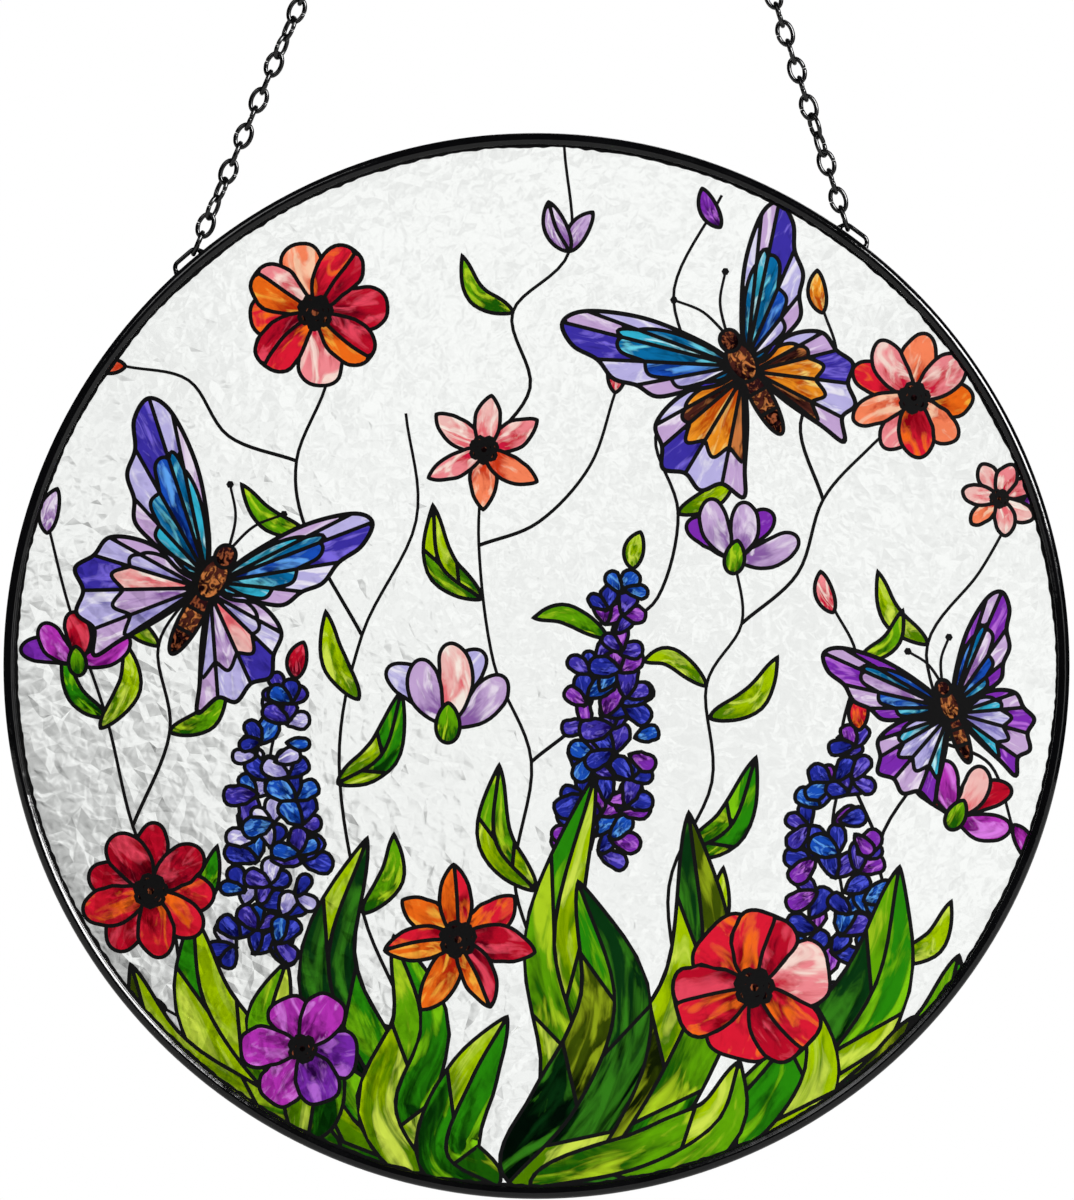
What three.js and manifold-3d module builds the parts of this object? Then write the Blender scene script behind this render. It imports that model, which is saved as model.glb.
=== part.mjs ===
// Round acrylic suncatcher on a chain: a clear panel in a black metal channel bent to a ring, two wire
// eyelets on the rim, and an oval-link chain whose top link goes on a hook.
// Millimetres. +X is right, +Y is back, away from the viewer, and +Z is up. The origin is the point
// on the inside of the top link where the hook bears.
import * as THREE from 'three';
import { mergeVertices } from 'three/addons/utils/BufferGeometryUtils.js';
import Module from 'manifold-3d';

// Panel
const PANEL_THICKNESS = 2.8;

// Frame: a channel that grips the panel's edge, open towards the ring's centre
const FRAME_DIAMETER = 200;
const FRAME_WALL = 0.8;
const FRAME_LIP = 2.2; // from the outside of the ring to the lips' free edges
const FRAME_CORNER = 1.2; // radius of the channel's two outer corners
const PANEL_GAP = 0.3; // between the panel and the channel, all round

// Eyelets: low loops of wire, each standing on the rim in the ring's plane
const EYELET_ANGLE = 38.6; // degrees from the ring's own top to either eyelet
const EYELET_WIRE = 0.7;
const EYELET_LENGTH = 6.8; // along the rim, outside to outside
const EYELET_PLAY = 0.3; // height of the loop's hole beyond the chain's wire
const EYELET_GAP = 0.3; // between the wire's ends and the rim

// Chain: oval links, each turned across its neighbours
const LINK_LENGTH = 5.2;
const LINK_WIDTH = 3.6;
const LINK_WIRE = 0.8;
const LINK_BITE = 0.05; // how far neighbours press into each other where they touch
const LINK_GAP = 0.3; // between the top link and the two links that hang on it
const LEFT_LINKS = 49;
const RIGHT_LINKS = 46;

// A chain hangs with most links a quarter turn apart and, here and there, a run of three links that
// make a half turn between them. A strand's first run starts after the link named here.
const QUARTER_TURN = 90;
const EASY_TURN = 60;
const EASY_RUN = 3;
const EASY_EVERY = 9;
const LEFT_RUN_START = 1;
const LEFT_RUNS = 4;
const RIGHT_RUN_START = 3;
const RIGHT_RUNS = 3;

// Facets
const RING_SEGMENTS = 72;
const CORNER_SEGMENTS = 3;
const EYELET_SIDES = 6;
const EYELET_BEND_STEPS = 6;
const EYELET_STEPS = 14;
const LINK_SIDES = 4;
const LINK_SEGMENTS = 8;

const ringRadius = FRAME_DIAMETER / 2;
const channelDepth = PANEL_THICKNESS + 2 * (PANEL_GAP + FRAME_WALL);
const eyeletHole = LINK_WIRE + EYELET_PLAY;
const eyeletRise = eyeletHole + EYELET_WIRE / 2;
const eyeletFlat = EYELET_LENGTH - EYELET_WIRE - 2 * eyeletRise;
const linkPitch = LINK_LENGTH - 2 * LINK_WIRE + LINK_BITE;
const linkHalfLength = (LINK_LENGTH - LINK_WIRE) / 2;
const linkHalfWidth = (LINK_WIDTH - LINK_WIRE) / 2;

const acrylic = new THREE.MeshStandardMaterial({
  name: 'clear rippled acrylic', color: 0xeef1ee, roughness: 0.08, metalness: 0, transparent: true, opacity: 0.35,
});
const enamel = new THREE.MeshStandardMaterial({
  name: 'black enamel on steel', color: 0x121214, roughness: 0.28, metalness: 0,
});
const blackedSteel = new THREE.MeshStandardMaterial({
  name: 'blackened steel wire', color: 0x1a1a1c, roughness: 0.34, metalness: 1,
});

const wasm = await Module();
wasm.setup();

function toSolid(geometry) {
  const bare = geometry.clone();
  bare.deleteAttribute('normal');
  bare.deleteAttribute('uv');
  const merged = mergeVertices(bare);
  return new wasm.Manifold(new wasm.Mesh({
    numProp: 3,
    vertProperties: new Float32Array(merged.attributes.position.array),
    triVerts: new Uint32Array(merged.index.array),
  }));
}

function toGeometry(solid) {
  const mesh = solid.getMesh();
  const geometry = new THREE.BufferGeometry();
  geometry.setAttribute('position', new THREE.BufferAttribute(new Float32Array(mesh.vertProperties), 3));
  geometry.setIndex(new THREE.BufferAttribute(new Uint32Array(mesh.triVerts), 1));
  geometry.computeVertexNormals();
  return geometry;
}

function named(name, geometry, material) {
  const mesh = new THREE.Mesh(geometry, material);
  mesh.name = name;
  return mesh;
}

// The panel's axis is Y, as a cylinder's is.
function panelGeometry() {
  const radius = ringRadius - FRAME_WALL - PANEL_GAP;
  return new THREE.CylinderGeometry(radius, radius, PANEL_THICKNESS, RING_SEGMENTS);
}

// The channel's section, turned about Y: round outer corners, two lips and the groove between them.
function frameGeometry() {
  const half = channelDepth / 2;
  const lipEdge = ringRadius - FRAME_LIP;
  const grooveFloor = ringRadius - FRAME_WALL;
  const profile = [];
  for (const side of [-1, 1]) {
    for (let step = 0; step <= CORNER_SEGMENTS; step++) {
      const turn = side * (side < 0 ? 1 - step / CORNER_SEGMENTS : step / CORNER_SEGMENTS) * Math.PI / 2;
      profile.push(new THREE.Vector2(
        ringRadius - FRAME_CORNER + FRAME_CORNER * Math.cos(turn),
        side * (half - FRAME_CORNER) + FRAME_CORNER * Math.sin(turn),
      ));
    }
  }
  profile.push(
    new THREE.Vector2(lipEdge, half),
    new THREE.Vector2(lipEdge, half - FRAME_WALL),
    new THREE.Vector2(grooveFloor, half - FRAME_WALL),
    new THREE.Vector2(grooveFloor, FRAME_WALL - half),
    new THREE.Vector2(lipEdge, FRAME_WALL - half),
    new THREE.Vector2(lipEdge, -half),
    profile[0].clone(),
  );
  return new THREE.LatheGeometry(profile, RING_SEGMENTS);
}

// A loop of wire over the rim's highest point: up from the rim, along its flat top and down again.
function eyeletGeometry() {
  const lift = Math.asin(EYELET_GAP / eyeletRise);
  const bends = [[-eyeletFlat / 2, Math.PI - lift, Math.PI / 2], [eyeletFlat / 2, Math.PI / 2, lift]];
  const points = [];
  for (const [centre, from, to] of bends) {
    for (let step = 0; step <= EYELET_BEND_STEPS; step++) {
      const turn = from + (to - from) * step / EYELET_BEND_STEPS;
      points.push(new THREE.Vector3(
        centre + eyeletRise * Math.cos(turn), 0, ringRadius + eyeletRise * Math.sin(turn),
      ));
    }
  }
  return new THREE.ExtrudeGeometry(polygon(EYELET_WIRE / 2, EYELET_SIDES), {
    steps: EYELET_STEPS, extrudePath: new THREE.CatmullRomCurve3(points, false, 'centripetal'),
  });
}

function polygon(radius, sides) {
  const corners = [];
  for (let corner = 0; corner < sides; corner++) {
    const turn = 2 * Math.PI * corner / sides;
    corners.push(new THREE.Vector2(radius * Math.cos(turn), radius * Math.sin(turn)));
  }
  return new THREE.Shape(corners);
}

// One oval link in the XY plane with its long axis on X: a torus led round a long octagon, whose flats
// lie on the ends and sides of the oval.
function linkGeometry() {
  const stride = 2 * Math.PI / LINK_SEGMENTS;
  const link = new THREE.TorusGeometry(1, LINK_WIRE / 2, LINK_SIDES, LINK_SEGMENTS).rotateZ(stride / 2);
  const spots = link.attributes.position;
  for (let index = 0; index < spots.count; index++) {
    const turn = Math.atan2(spots.getY(index), spots.getX(index));
    const out = Math.hypot(spots.getX(index), spots.getY(index)) - 1;
    const here = linkCorner(turn, stride);
    const before = edgeNormal(linkCorner(turn - stride, stride), here);
    const after = edgeNormal(here, linkCorner(turn + stride, stride));
    const spot = before.clone().add(after).multiplyScalar(out / (1 + before.dot(after))).add(here);
    spots.setXY(index, spot.x, spot.y);
  }
  return link;
}

function linkCorner(turn, stride) {
  return new THREE.Vector2(linkHalfLength * Math.cos(turn), linkHalfWidth * Math.sin(turn))
    .divideScalar(Math.cos(stride / 2));
}

function edgeNormal(from, to) {
  return new THREE.Vector2(to.y - from.y, from.x - to.x).normalize();
}

// Where the strand on one side starts, ends and points, for a ring that hangs so far down and so turned.
// A strand starts in its eyelet's hole, at the corner nearer the top, and ends in the top link, on the
// stretch of wire that faces it. Side is -1 for left and 1 for right.
function strandEnds(side, drop, turn) {
  const angle = THREE.MathUtils.degToRad(side * EYELET_ANGLE) + turn;
  const outward = new THREE.Vector3(Math.sin(angle), 0, Math.cos(angle));
  const inward = new THREE.Vector3(-side * Math.cos(angle), 0, side * Math.sin(angle));
  const start = new THREE.Vector3(0, 0, -drop)
    .addScaledVector(outward, ringRadius + eyeletHole / 2)
    .addScaledVector(inward, eyeletFlat / 2);
  const lean = Math.atan2(side * start.x, -start.z);
  const facing = Math.atan2(-linkHalfWidth * Math.cos(lean), side * linkHalfLength * Math.sin(lean));
  const end = new THREE.Vector3(
    linkHalfLength * Math.cos(facing), 0, linkHalfWidth * Math.sin(facing) + LINK_WIRE - LINK_WIDTH / 2,
  );
  const direction = end.clone().sub(start).normalize();
  end.addScaledVector(direction, LINK_WIRE + LINK_GAP);
  return { start, end, direction };
}

const strandLength = (links) => (links - 1) * linkPitch + 2 * linkHalfLength;

// The ring's drop below the hook and its turn under the chain. Each strand is as long as its links, and
// the ring's centre hangs straight under the hook.
function hangingPose() {
  let drop = ringRadius + strandLength(RIGHT_LINKS);
  let turn = 0;
  for (let round = 0; round < 60; round++) {
    const left = strandEnds(-1, drop, turn);
    const right = strandEnds(1, drop, turn);
    const leftSlack = strandLength(LEFT_LINKS) - left.start.distanceTo(left.end);
    const rightSlack = strandLength(RIGHT_LINKS) - right.start.distanceTo(right.end);
    drop += (leftSlack + rightSlack) / 2;
    turn += (rightSlack - leftSlack) / (2 * ringRadius);
  }
  return { drop, turn };
}

// A strand of links, each placed along the strand and turned about it.
function strandGeometry(side, links, runStart, runs, pose) {
  const { start, direction } = strandEnds(side, pose.drop, pose.turn);
  const across = new THREE.Vector3(direction.z, 0, -direction.x);
  const back = new THREE.Vector3(0, 1, 0);
  const link = linkGeometry();
  let strand = null;
  let twist = QUARTER_TURN;
  for (let index = 0; index < links; index++) {
    const run = Math.floor((index - runStart - 1) / EASY_EVERY);
    const easy = run >= 0 && run < runs && index - runStart - 1 - run * EASY_EVERY < EASY_RUN;
    if (index > 0) {
      twist += easy ? EASY_TURN : QUARTER_TURN;
    }
    const turn = THREE.MathUtils.degToRad(twist);
    const width = across.clone().multiplyScalar(Math.cos(turn)).addScaledVector(back, Math.sin(turn));
    const thickness = direction.clone().cross(width);
    const place = new THREE.Matrix4().makeBasis(direction, width, thickness);
    place.setPosition(start.clone().addScaledVector(direction, linkHalfLength + index * linkPitch));
    const solid = toSolid(link.clone().applyMatrix4(place));
    strand = strand ? strand.add(solid) : solid;
  }
  return toGeometry(strand);
}

const pose = hangingPose();

const suncatcher = new THREE.Group();
suncatcher.name = 'suncatcher';

const roundel = new THREE.Group();
roundel.position.z = -pose.drop;
roundel.rotation.y = pose.turn;
roundel.add(named('acrylic_panel', panelGeometry(), acrylic));
roundel.add(named('frame', frameGeometry(), enamel));
for (const [name, side] of [['eyelet_left', -1], ['eyelet_right', 1]]) {
  const eyelet = named(name, eyeletGeometry(), enamel);
  eyelet.rotation.y = THREE.MathUtils.degToRad(side * EYELET_ANGLE);
  roundel.add(eyelet);
}
suncatcher.add(roundel);

suncatcher.add(named(
  'chain_left', strandGeometry(-1, LEFT_LINKS, LEFT_RUN_START, LEFT_RUNS, pose), blackedSteel,
));
suncatcher.add(named(
  'chain_right', strandGeometry(1, RIGHT_LINKS, RIGHT_RUN_START, RIGHT_RUNS, pose), blackedSteel,
));

// The top link lies level and faces the viewer.
const topLink = named('top_link', linkGeometry(), blackedSteel);
topLink.rotation.x = Math.PI / 2;
topLink.position.z = LINK_WIRE - LINK_WIDTH / 2;
suncatcher.add(topLink);

export default suncatcher;
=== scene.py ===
"""Round acrylic suncatcher: its panel, print, frame, eyelets and chain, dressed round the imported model."""
import math
import random

import bpy
import numpy as np
from bpy.props import FloatProperty, FloatVectorProperty, PointerProperty
from mathutils import Matrix, Vector, noise
from mathutils.geometry import delaunay_2d_cdt


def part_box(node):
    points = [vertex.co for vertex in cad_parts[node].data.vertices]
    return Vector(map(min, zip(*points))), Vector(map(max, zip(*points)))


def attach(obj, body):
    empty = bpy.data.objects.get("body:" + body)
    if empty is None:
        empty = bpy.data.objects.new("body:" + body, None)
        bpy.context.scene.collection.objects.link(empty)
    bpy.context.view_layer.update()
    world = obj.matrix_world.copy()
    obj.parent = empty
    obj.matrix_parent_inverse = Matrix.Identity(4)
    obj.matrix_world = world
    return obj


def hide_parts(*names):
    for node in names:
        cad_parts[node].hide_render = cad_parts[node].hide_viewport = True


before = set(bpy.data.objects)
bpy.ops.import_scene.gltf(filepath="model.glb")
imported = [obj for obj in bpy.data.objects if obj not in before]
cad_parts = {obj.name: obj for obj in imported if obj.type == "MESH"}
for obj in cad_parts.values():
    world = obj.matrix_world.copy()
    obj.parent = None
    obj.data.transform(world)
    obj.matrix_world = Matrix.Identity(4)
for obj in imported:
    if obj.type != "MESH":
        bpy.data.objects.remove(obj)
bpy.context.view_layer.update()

bl_info = {
    "name": "Acrylic suncatcher",
    "version": (1, 0, 0),
    "blender": (4, 5, 0),
    "location": "3D View > Sidebar > Suncatcher",
    "description": "Builds the printed panel, the ring, the eyelets and the chain of a hanging suncatcher",
    "category": "Add Mesh",
}

MM = 0.001

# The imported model's own sizes, from its nodes' boxes.
RING_LOW, RING_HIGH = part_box("frame")
RING_RADIUS = (RING_HIGH[0] - RING_LOW[0]) / 2
RING_DEPTH = RING_HIGH[1] - RING_LOW[1]
RING_CENTRE = Vector((0, 0, (RING_LOW[2] + RING_HIGH[2]) / 2))
PANEL_LOW, PANEL_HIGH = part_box("acrylic_panel")
PANEL_RADIUS = (PANEL_HIGH[0] - PANEL_LOW[0]) / 2
PANEL_FRONT = PANEL_LOW[1]
PANEL_BACK = PANEL_HIGH[1]


def linear(colour):
    """An sRGB hex colour as linear red, green and blue."""
    channels = [int(colour[index:index + 2], 16) / 255 for index in (0, 2, 4)]
    return tuple(c / 12.92 if c <= 0.04045 else ((c + 0.055) / 1.055) ** 2.4 for c in channels)


def opaque(colour):
    """A linear colour with full alpha."""
    return (*colour[:3], 1.0)


def pointing(turn):
    """The flat direction at that angle, in radians from rightwards."""
    return Vector((math.cos(turn), math.sin(turn)))


def per_size(millimetres):
    """A noise texture's scale that makes its marks about that large."""
    return 1 / (millimetres * MM)


def add_node(tree, kind, values=None, links=None, **settings):
    """Adds a node, with its settings, its plain input values and its links from other nodes' outputs."""
    made = tree.nodes.new(kind)
    for name, value in settings.items():
        setattr(made, name, value)
    for name, value in (values or {}).items():
        made.inputs[name].default_value = value
    for name, source in (links or {}).items():
        tree.links.new(source, made.inputs[name])
    return made


def new_material(name):
    """An empty material with its output node, and that node."""
    material = bpy.data.materials.new(name)
    material.use_nodes = True
    material.node_tree.nodes.clear()
    return material, material.node_tree, add_node(material.node_tree, "ShaderNodeOutputMaterial")


def mesh_object(name, vertices, faces, materials, smooth=True):
    """A mesh object at the origin, with its faces in the order given."""
    mesh = bpy.data.meshes.new(name)
    mesh.from_pydata([tuple(v) for v in vertices], [], faces)
    mesh.validate()
    mesh.polygons.foreach_set("use_smooth", [smooth] * len(mesh.polygons))
    for material in materials:
        mesh.materials.append(material)
    piece = bpy.data.objects.new(name, mesh)
    bpy.context.scene.collection.objects.link(piece)
    return piece


def finish_piece(piece, slot, *nodes):
    """Rides the piece on the one body and hides the nodes that it stands for."""
    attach(piece, "root")
    if nodes:
        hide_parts(*nodes)


def join_parts(parts):
    """The vertices and faces of several parts, as one list of each."""
    vertices, faces = [], []
    for part_vertices, part_faces in parts:
        first = len(vertices)
        vertices.extend(part_vertices)
        faces.extend([tuple(first + corner for corner in face) for face in part_faces])
    return vertices, faces


def sweep(path, radii, sides, across):
    """A round wire with closed ends, along an open path in one plane. Across is the plane's normal."""
    vertices, faces = [], []
    for index, (spot, radius) in enumerate(zip(path, radii)):
        before = path[max(index - 1, 0)]
        after = path[min(index + 1, len(path) - 1)]
        normal = (after - before).normalized().cross(across)
        for side in range(sides):
            turn = 2 * math.pi * side / sides
            vertices.append(spot + (normal * math.cos(turn) + across * math.sin(turn)) * radius)
    for ring in range(len(path) - 1):
        for side in range(sides):
            here, there = ring * sides, (ring + 1) * sides
            beside = (side + 1) % sides
            faces.append((here + side, here + beside, there + beside, there + side))
    faces.append(tuple(reversed(range(sides))))
    faces.append(tuple(range((len(path) - 1) * sides, len(path) * sides)))
    return vertices, faces


# Finishes of the metal, the acrylic and the floor

def enamel_material(colour):
    """Stoved black enamel on rolled steel: a deep gloss, wavy from rolling and dimpled like orange peel."""
    material, tree, output = new_material("black_stoved_enamel")
    place = add_node(tree, "ShaderNodeTexCoord").outputs["Object"]
    peel = add_node(tree, "ShaderNodeTexNoise", {"Scale": per_size(1.43), "Detail": 2.0}, {"Vector": place})
    wave = add_node(tree, "ShaderNodeTexNoise", {"Scale": per_size(6.25), "Detail": 4.0}, {"Vector": place})
    rolled = add_node(tree, "ShaderNodeBump", {"Strength": 0.35, "Distance": 0.6 * MM},
                      {"Height": wave.outputs["Fac"]})
    bump = add_node(tree, "ShaderNodeBump", {"Strength": 0.06, "Distance": 0.06 * MM},
                    {"Height": peel.outputs["Fac"], "Normal": rolled.outputs["Normal"]})
    gloss = add_node(tree, "ShaderNodeMapRange",
                     {"From Min": 0.3, "From Max": 0.7, "To Min": 0.07, "To Max": 0.15},
                     {"Value": wave.outputs["Fac"]})
    tone = add_node(tree, "ShaderNodeMix", {"A": opaque(colour), "B": opaque(linear("0c0c0e"))},
                    {"Factor": wave.outputs["Fac"]}, data_type="RGBA")
    shader = add_node(tree, "ShaderNodeBsdfPrincipled",
                      {"IOR": 1.5, "Specular IOR Level": 0.25, "Coat Weight": 0.12, "Coat Roughness": 0.05},
                      {"Base Color": tone.outputs["Result"], "Roughness": gloss.outputs["Result"],
                       "Normal": bump.outputs["Normal"]})
    tree.links.new(shader.outputs["BSDF"], output.inputs["Surface"])
    return material


def lacquer_material(colour):
    """Black lacquer on bent steel wire: thin and glossy, with millimetre-wide greyer rubbed patches."""
    material, tree, output = new_material("black_lacquered_wire")
    place = add_node(tree, "ShaderNodeTexCoord").outputs["Object"]
    rub = add_node(tree, "ShaderNodeTexNoise", {"Scale": per_size(1.11), "Detail": 3.0}, {"Vector": place})
    patch = add_node(tree, "ShaderNodeMapRange",
                     {"From Min": 0.52, "From Max": 0.72, "To Min": 0.0, "To Max": 0.6},
                     {"Value": rub.outputs["Fac"]})
    tone = add_node(tree, "ShaderNodeMix", {"A": opaque(colour), "B": opaque(linear("18181a"))},
                    {"Factor": patch.outputs["Result"]}, data_type="RGBA")
    bump = add_node(tree, "ShaderNodeBump", {"Strength": 0.15, "Distance": 0.04 * MM},
                    {"Height": rub.outputs["Fac"]})
    shader = add_node(tree, "ShaderNodeBsdfPrincipled",
                      {"IOR": 1.5, "Roughness": 0.2, "Specular IOR Level": 0.35, "Coat Weight": 0.2},
                      {"Base Color": tone.outputs["Result"], "Normal": bump.outputs["Normal"]})
    tree.links.new(shader.outputs["BSDF"], output.inputs["Surface"])
    return material


def acrylic_material(name, rough, relief):
    """Clear cast acrylic, as bright as glass. Relief adds ripples 2.4 mm wide, where it was pressed."""
    material, tree, output = new_material(name)
    place = add_node(tree, "ShaderNodeTexCoord").outputs["Object"]
    ripple = add_node(tree, "ShaderNodeTexNoise",
                      {"Scale": per_size(2.38), "Detail": 1.0, "Distortion": 0.4}, {"Vector": place})
    bump = add_node(tree, "ShaderNodeBump", {"Strength": relief, "Distance": 0.22 * MM},
                    {"Height": ripple.outputs["Fac"]})
    shader = add_node(tree, "ShaderNodeBsdfPrincipled",
                      {"Base Color": opaque(linear("fbfdfb")), "IOR": 1.49, "Roughness": rough,
                       "Transmission Weight": 1.0},
                      {"Normal": bump.outputs["Normal"]})
    tree.links.new(shader.outputs["BSDF"], output.inputs["Surface"])
    return material


def floor_material(colour):
    """Matt painted board, with clouds about 170 mm wide that are a shade darker."""
    material, tree, output = new_material("matt_painted_board")
    place = add_node(tree, "ShaderNodeTexCoord").outputs["Object"]
    cloud = add_node(tree, "ShaderNodeTexNoise", {"Scale": per_size(166.7), "Detail": 3.0}, {"Vector": place})
    tone = add_node(tree, "ShaderNodeMix", {"A": opaque(colour), "B": opaque(linear("e6e6e4"))},
                    {"Factor": cloud.outputs["Fac"]}, data_type="RGBA")
    shader = add_node(tree, "ShaderNodeBsdfPrincipled", {"Roughness": 0.8, "IOR": 1.45},
                      {"Base Color": tone.outputs["Result"]})
    tree.links.new(shader.outputs["BSDF"], output.inputs["Surface"])
    return material


# The panel

PANEL_EDGE_STEPS = 384


def spiral_spots(radius, spacing):
    """Evenly spread points in a disc, laid out along a sunflower's spiral, so that no row of them shows."""
    golden = math.pi * (3 - math.sqrt(5))
    step = spacing / math.sqrt(math.pi)
    count = int((radius / step) ** 2)
    return [Vector((step * math.sqrt(index + 0.5) * math.cos(index * golden),
                    step * math.sqrt(index + 0.5) * math.sin(index * golden))) for index in range(count)]


def panel_mesh(settings):
    """The disc as one closed mesh: flat front, straight edge and a back crumpled into small facets."""
    edge = [pointing(2 * math.pi * k / PANEL_EDGE_STEPS) * PANEL_RADIUS for k in range(PANEL_EDGE_STEPS)]
    draws = random.Random(5)
    jitter = settings.facet_size * 0.33
    inner = [spot + Vector((draws.uniform(-jitter, jitter), draws.uniform(-jitter, jitter)))
             for spot in spiral_spots(PANEL_RADIUS - settings.facet_size * 1.5, settings.facet_size)]
    spots, _, triangles, _, _, _ = delaunay_2d_cdt(edge + inner, [], [list(range(len(edge)))], 1, 1e-9)
    vertices = []
    for spot in spots:
        fade = min(1.0, (PANEL_RADIUS - spot.length) / settings.facet_size)
        drift = noise.noise(Vector((spot.x, spot.y, 0)) / settings.facet_size * 0.25)
        # Mostly chance, and a slow drift over about four facets.
        height = min(1.0, max(0.0, 0.15 + 0.7 * draws.random() + 0.3 * drift))
        vertices.append(Vector((spot.x, PANEL_BACK - settings.ripple_depth * (1 - height) * max(0.0, fade),
                                RING_CENTRE.z + spot.y)))
    faces = [tuple(reversed(triangle)) for triangle in triangles]
    lookup = {(round(spot.x, 7), round(spot.y, 7)): k for k, spot in enumerate(spots)}
    rim = [lookup[(round(spot.x, 7), round(spot.y, 7))] for spot in edge]
    first = len(vertices)
    vertices.extend(Vector((spot.x, PANEL_FRONT, RING_CENTRE.z + spot.y)) for spot in edge)
    for k in range(len(edge)):
        beside = (k + 1) % len(edge)
        faces.append((rim[k], rim[beside], first + beside, first + k))
    faces.append(tuple(first + k for k in range(len(edge))))
    return vertices, faces


def build_panel(settings):
    """The acrylic disc: polished in front, rippled behind."""
    vertices, faces = panel_mesh(settings)
    materials = [
        acrylic_material("polished_cast_acrylic", 0.01, 0.0),
        acrylic_material("rippled_cast_acrylic", 0.01, 0.45),
    ]
    panel = mesh_object("rippled_panel", vertices, faces, materials, smooth=False)
    for polygon in panel.data.polygons:
        polygon.material_index = 1 if polygon.normal.y > 0.5 else 0
    finish_piece(panel, "acrylic", "acrylic_panel")


# The print. Its flat design is laid out in millimetres from the disc's middle, as (right, up).

def smooth_line(points, steps=8):
    """A smooth line through the points, as a list of flat vectors."""
    knots = [Vector(point) for point in points]
    if len(knots) == 2:
        return [knots[0].lerp(knots[1], k / steps) for k in range(steps + 1)]
    padded = [knots[0] * 2 - knots[1], *knots, knots[-1] * 2 - knots[-2]]
    line = []
    for index in range(1, len(padded) - 2):
        a, b, c, d = padded[index - 1:index + 3]
        for k in range(steps):
            t = k / steps
            line.append(0.5 * (2 * b + (c - a) * t + (2 * a - 5 * b + 4 * c - d) * t * t
                               + (3 * b - a - 3 * c + d) * t ** 3))
    line.append(knots[-1])
    return line


def bowed_line(base, tip, bow):
    """A line from base to tip that bows sideways by that share of its length, as three points."""
    base, tip = Vector(base), Vector(tip)
    chord = tip - base
    return [base, (base + tip) / 2 + Vector((-chord.y, chord.x)) * bow, tip]


def turned_area(outline):
    """Twice the outline's area, positive where it runs anticlockwise."""
    return sum(a.x * b.y - b.x * a.y for a, b in zip(outline, outline[1:] + outline[:1]))


def closer_spaced(outline, spacing):
    """The outline with points added, so that none of its edges is longer than the spacing."""
    spaced = []
    for a, b in zip(outline, outline[1:] + outline[:1]):
        parts = max(1, math.ceil((b - a).length / spacing))
        spaced.extend(a.lerp(b, k / parts) for k in range(parts))
    return spaced


def offset_outline(outline, distance):
    """The outline moved outwards by the distance, or inwards if negative, with no crossed corners."""
    if turned_area(outline) < 0:
        outline = outline[::-1]
    outline = [point for index, point in enumerate(outline) if (point - outline[index - 1]).length > 1e-4]
    count = len(outline)
    if count < 3:
        return []
    longest_corner = 2.2 if distance > 0 else 6.0
    moved = []
    for index, point in enumerate(outline):
        before = point - outline[index - 1]
        after = outline[(index + 1) % count] - point
        first = Vector((before.y, -before.x)).normalized()
        second = Vector((after.y, -after.x)).normalized()
        middle = first + second
        # The sides of a needle's point face away from each other, so the point moves straight on.
        if middle.length < 0.3:
            middle = first + second * 0.999 + before.normalized() * 0.35
        middle.normalize()
        moved.append(point + middle * distance * min(longest_corner, 1 / max(0.15, middle.dot(first))))
    if distance > 0:
        return moved
    # A corner is dropped where it has crossed to within the distance of another side.
    starts, spots = np.array(outline), np.array(moved)
    sides = np.roll(starts, -1, 0) - starts
    reach = spots[:, None] - starts[None]
    share = np.clip((reach * sides).sum(2) / (sides * sides).sum(1), 0, 1)
    nearest = np.linalg.norm(reach - sides * share[..., None], axis=2).min(1)
    return [point for point, away in zip(moved, nearest) if away > -distance * 0.96]


class Blade:
    """A petal, leaf, wing or body: a middle line with a width that swells and closes along it."""

    def __init__(self, line, width, start=1.0, end=0.5, steps=14, wobble=0.0, seed=0):
        self.line = smooth_line(line, steps)
        self.steps = len(self.line) - 1
        self.half = width / 2
        self.start, self.end = start, end
        self.peak = (start / (start + end)) ** start * (end / (start + end)) ** end
        self.wobble = wobble
        self.seed = seed

    def at(self, t, s):
        """The point that far along, from 0 to 1, and that far across, from -1 to 1."""
        t = min(1.0, max(0.0, t))
        spot = t * self.steps
        index = min(self.steps - 1, int(spot))
        here = self.line[index].lerp(self.line[index + 1], spot - index)
        before = self.line[max(0, index - 1)]
        after = self.line[min(self.steps, index + 2)]
        along = (after - before).normalized()
        swell = (t ** self.start) * ((1 - t) ** self.end) / self.peak
        uneven = 1 + self.wobble * noise.noise(Vector((t * 5, s * 1.5, self.seed)))
        return here + Vector((along.y, -along.x)) * s * self.half * swell * uneven

    def outline(self, count=22):
        """The whole shape's outline, closer spaced towards both ends."""
        shares = [(1 - math.cos(math.pi * k / count)) / 2 for k in range(count + 1)]
        return [self.at(t, 1) for t in shares] + [self.at(t, -1) for t in reversed(shares[1:-1])]

    def cell(self, t0, t1, s0, s1, lean0=0.0, lean1=0.0, count=14):
        """The outline of one cell. Its crossing edges lean towards the tip, as the veins of a leaf do."""
        shares = [(1 - math.cos(math.pi * k / count)) / 2 for k in range(count + 1)]

        def side(s):
            start, end = t0 + lean0 * abs(s), t1 + lean1 * abs(s)
            return [self.at(start + (end - start) * share, s) for share in shares]
        return side(s1) + side(s0)[::-1]


# One cell that fills its blade, as (from, to) along it and (from, to) across it.
WHOLE = (0, 1, -1, 1)


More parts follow.
